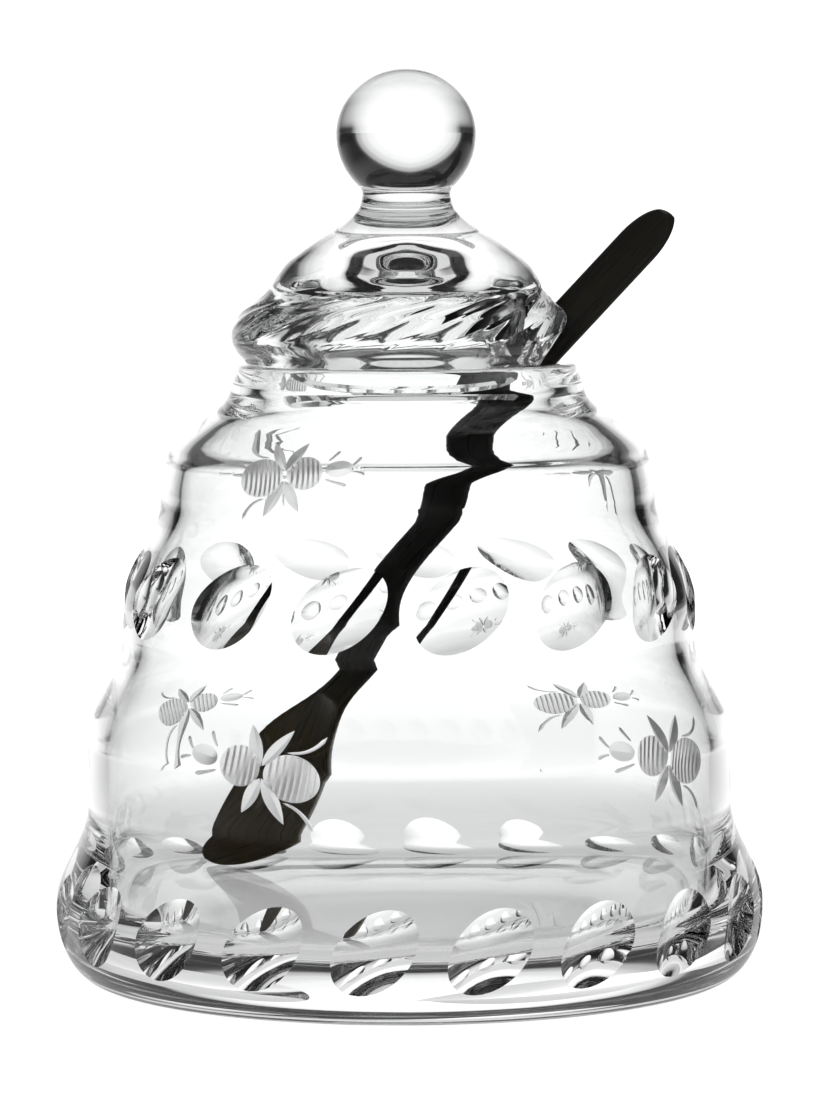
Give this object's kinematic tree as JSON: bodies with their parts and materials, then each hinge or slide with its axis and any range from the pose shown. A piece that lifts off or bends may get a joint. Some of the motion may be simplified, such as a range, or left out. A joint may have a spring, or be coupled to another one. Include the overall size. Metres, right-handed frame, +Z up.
{
  "type": "honey pot with lid and spoon",
  "caption": "Clear cut-glass honey pot in a stepped beehive shape, with slanted oval cuts, a loose lid with a ball knob, and a dark horn spoon leaning out through a slot in the lid.",
  "frame": {"origin": "centre of the jar's foot on the table, which is the bottom centre of the bounding box", "axes": "+Z up along the axis of the jar; the front faces -Y; the spoon leans out to +X"},
  "size_m": [0.1182, 0.1182, 0.1507],
  "materials": {
    "glass": "clear polished glass",
    "horn": "polished dark horn"
  },
  "bodies": {
    "jar_body": {"jar": "glass"},
    "lid_body": {"lid": "glass"},
    "spoon_body": {"spoon": "horn"}
  },
  "joints": [
    {"name": "lid_lift", "type": "slide", "parent": "jar_body", "child": "lid_body", "axis": [0, 0, 1], "range_m": [0, 0.08]},
    {"name": "spoon_draw", "type": "slide", "parent": "jar_body", "child": "spoon_body", "axis": [0.4727, -0.172, 0.8643], "range_m": [0, 0.03]}
  ]
}
